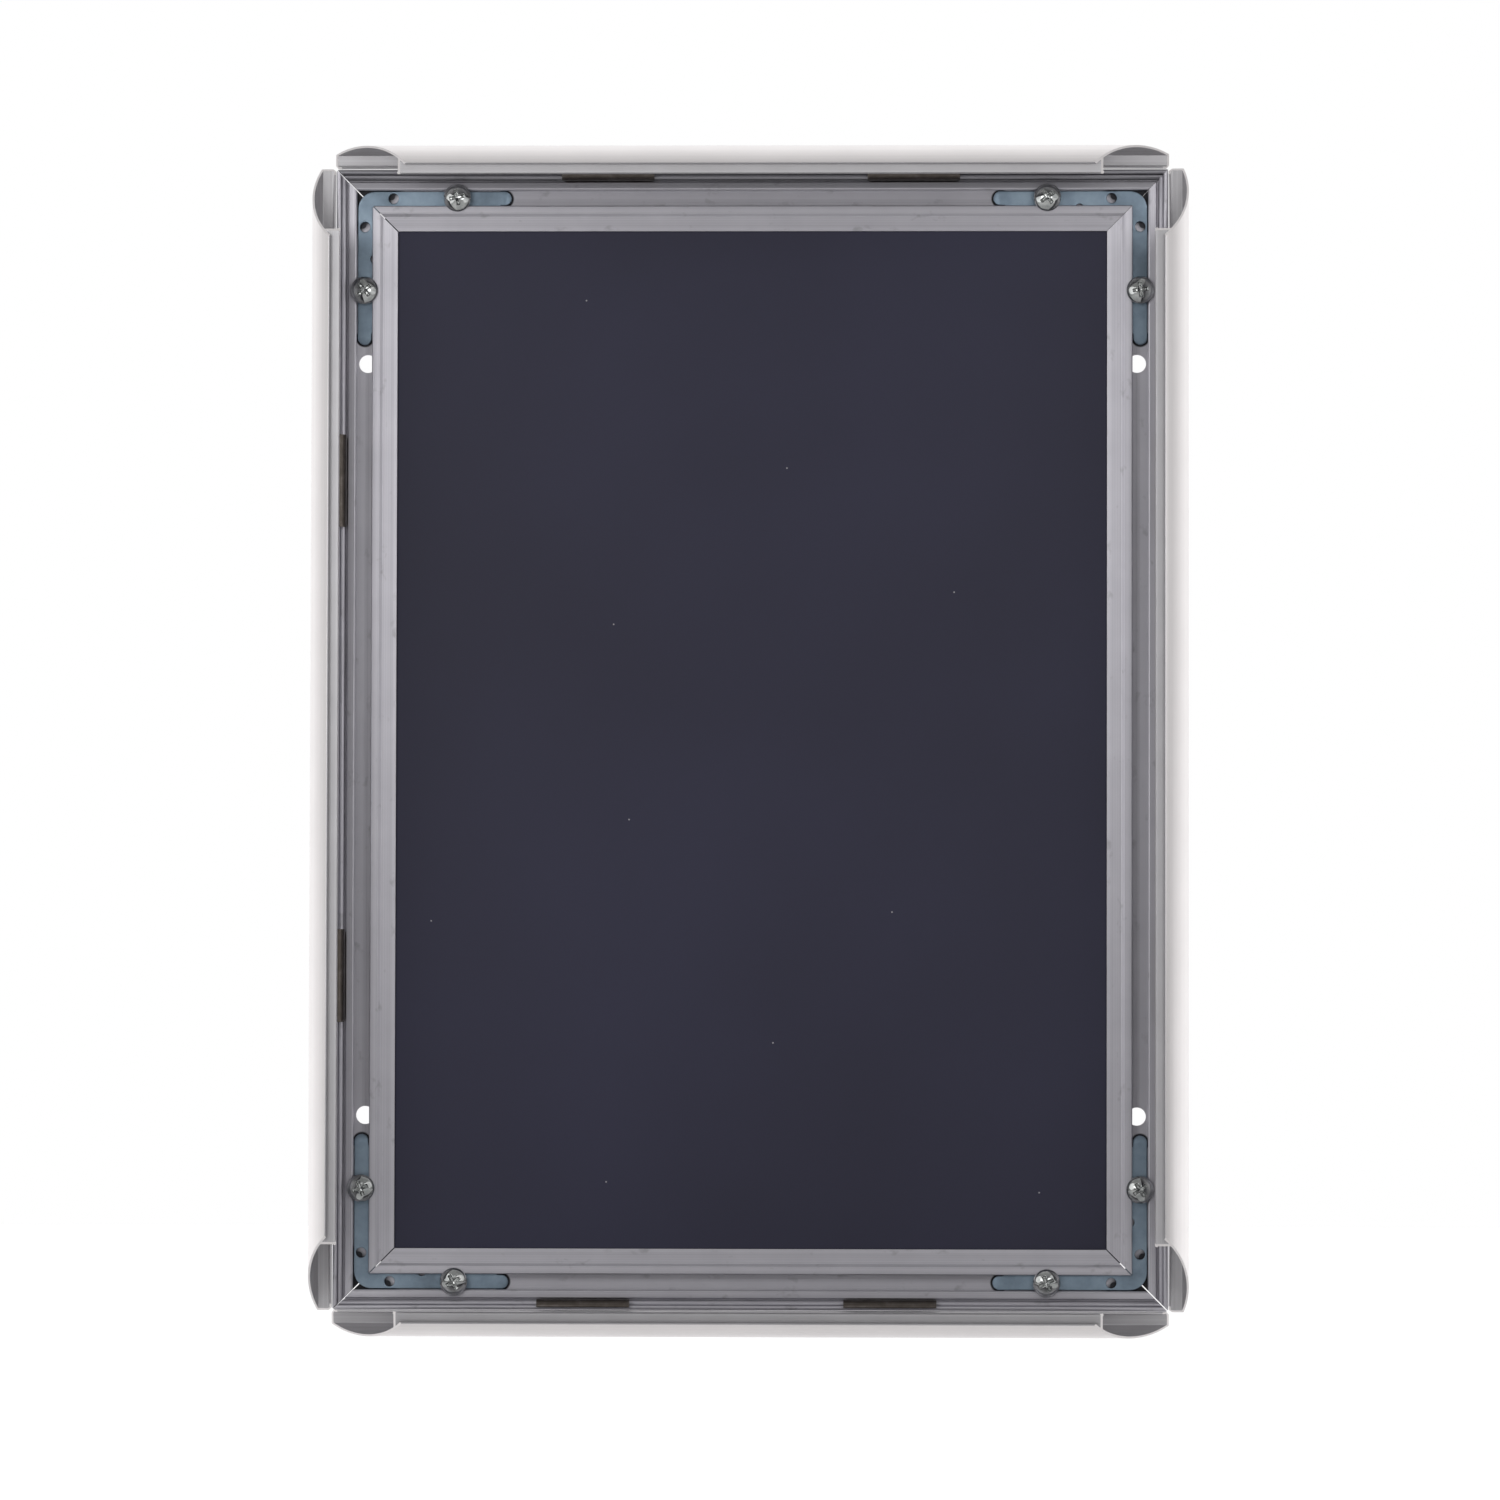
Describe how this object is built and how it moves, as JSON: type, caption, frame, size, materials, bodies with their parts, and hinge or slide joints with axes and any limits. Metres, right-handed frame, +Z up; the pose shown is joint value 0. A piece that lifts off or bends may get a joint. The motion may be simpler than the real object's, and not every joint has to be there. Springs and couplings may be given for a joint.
{
  "type": "snap-open poster frame",
  "caption": "Aluminium snap-open poster frame for an A4 sheet, with hinged covers, mitred rails, corner brackets, leaf springs and a dark backing panel.",
  "frame": {"origin": "middle of the frame on the wall plane, behind the backing panel", "axes": "+Z up the frame's long side as it hangs in portrait, +X to the viewer's right, +Y into the wall"},
  "size_m": [0.2477, 0.0264, 0.336],
  "materials": {
    "rail_aluminium": "satin anodised, drawn lines along the extrusion",
    "cover_aluminium": "satin silver anodised",
    "zinc_plate": "zinc plated with a blue passivate",
    "screw_steel": "bright zinc plated",
    "spring_steel": "dark tempered spring steel",
    "panel_plastic": "matte, almost black blue"
  },
  "bodies": {
    "base": {"rail_top": "rail_aluminium", "rail_bottom": "rail_aluminium", "rail_left": "rail_aluminium", "rail_right": "rail_aluminium", "bracket_top_left": "zinc_plate", "bracket_top_right": "zinc_plate", "bracket_bottom_left": "zinc_plate", "bracket_bottom_right": "zinc_plate", "screw_top_left_1": "screw_steel", "screw_top_left_2": "screw_steel", "screw_top_right_1": "screw_steel", "screw_top_right_2": "screw_steel", "screw_bottom_left_1": "screw_steel", "screw_bottom_left_2": "screw_steel", "screw_bottom_right_1": "screw_steel", "screw_bottom_right_2": "screw_steel", "spring_top_1": "spring_steel", "spring_top_2": "spring_steel", "spring_bottom_1": "spring_steel", "spring_bottom_2": "spring_steel", "spring_left_1": "spring_steel", "spring_left_2": "spring_steel", "spring_right_1": "spring_steel", "spring_right_2": "spring_steel", "back_panel": "panel_plastic"},
    "top_cover": {"cover_top": "cover_aluminium"},
    "bottom_cover": {"cover_bottom": "cover_aluminium"},
    "left_cover": {"cover_left": "cover_aluminium"},
    "right_cover": {"cover_right": "cover_aluminium"}
  },
  "joints": [
    {"name": "top_cover_hinge", "type": "hinge", "parent": "base", "child": "top_cover", "pos_m": [0, -0.0064, 0.16055], "axis": [-1, 0, 0], "range_deg": [-89, 11]},
    {"name": "bottom_cover_hinge", "type": "hinge", "parent": "base", "child": "bottom_cover", "pos_m": [0, -0.0064, -0.16055], "axis": [1, 0, 0], "range_deg": [-100, 0]},
    {"name": "left_cover_hinge", "type": "hinge", "parent": "base", "child": "left_cover", "pos_m": [-0.11705, -0.0064, 0], "axis": [0, 0, -1], "range_deg": [-91.5, 8.5]},
    {"name": "right_cover_hinge", "type": "hinge", "parent": "base", "child": "right_cover", "pos_m": [0.11705, -0.0064, 0], "axis": [0, 0, 1], "range_deg": [-86.5, 13.5]}
  ]
}
